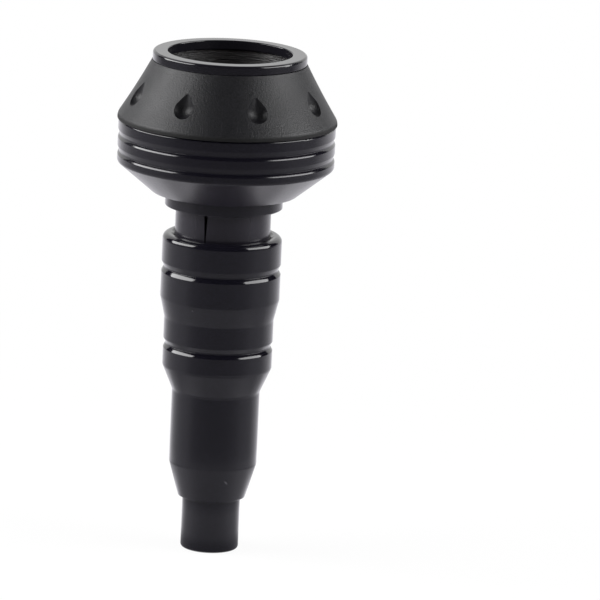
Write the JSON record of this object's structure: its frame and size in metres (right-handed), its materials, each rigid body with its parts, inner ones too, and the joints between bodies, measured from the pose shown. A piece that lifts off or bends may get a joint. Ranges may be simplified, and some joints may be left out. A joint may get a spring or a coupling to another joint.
{
  "type": "exhaust slider",
  "caption": "Turned black exhaust slider: a nylon crash cone in a ribbed cup, sliding on a stepped stem that a bolt holds to the frame.",
  "frame": {"origin": "centre of the foot's flat face, where the bolt comes out of the stem", "axes": "+Z along the turned axis, from the foot to the crash head; -Y towards the side that the picture shows"},
  "size_m": [0.0606, 0.0606, 0.1405],
  "materials": {
    "black_anodised": "gloss black anodised",
    "black_nylon": "matte, fine grain"
  },
  "bodies": {
    "stem_unit": {"stem": "black_anodised"},
    "head_unit": {"spigot": "black_anodised", "ribbed_cup": "black_anodised", "crash_head": "black_nylon", "end_ring": "black_anodised"}
  },
  "joints": [
    {"name": "head_slide", "type": "slide", "parent": "stem_unit", "child": "head_unit", "axis": [0, 0, 1], "range_m": [-0.00785, 0]}
  ]
}
